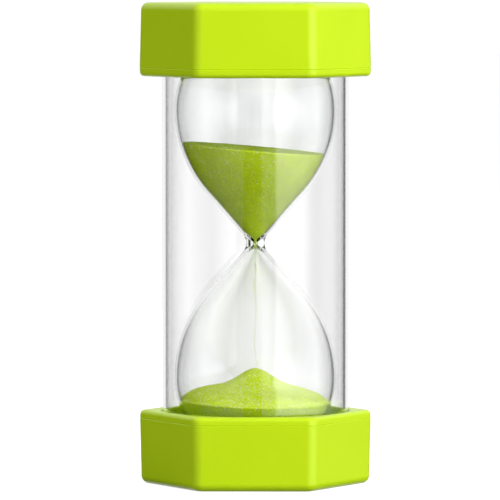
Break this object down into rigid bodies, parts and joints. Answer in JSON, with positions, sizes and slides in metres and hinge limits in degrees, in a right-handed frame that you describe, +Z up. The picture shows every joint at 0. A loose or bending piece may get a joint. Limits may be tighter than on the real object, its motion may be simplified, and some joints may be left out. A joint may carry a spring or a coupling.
{
  "type": "hourglass",
  "caption": "Sand timer: a blown glass double bulb with green sand, inside a clear tube held between two hexagonal lime green caps.",
  "frame": {"origin": "centre of the flat face that the timer stands on", "axes": "+Z up along the timer's axis, a flat of the hexagonal caps facing -Y, corners of the caps on +X and -X"},
  "size_m": [0.0768, 0.0676, 0.16],
  "materials": {
    "cap_plastic": "satin",
    "clear_acrylic": "polished",
    "bulb_glass": "polished",
    "green_sand": "matte",
    "cushion_foam": "matte",
    "stopper_silicone": "matte"
  },
  "bodies": {
    "root": {"bottom_cap_shell": "cap_plastic", "bottom_cap_collar": "cap_plastic", "bottom_cushion": "cushion_foam", "top_cap_shell": "cap_plastic", "top_cap_collar": "cap_plastic", "top_cushion": "cushion_foam", "outer_tube": "clear_acrylic", "glass_bulb": "bulb_glass", "filling_stopper": "stopper_silicone", "upper_sand": "green_sand", "lower_sand": "green_sand", "sand_stream": "green_sand"}
  },
  "joints": []
}
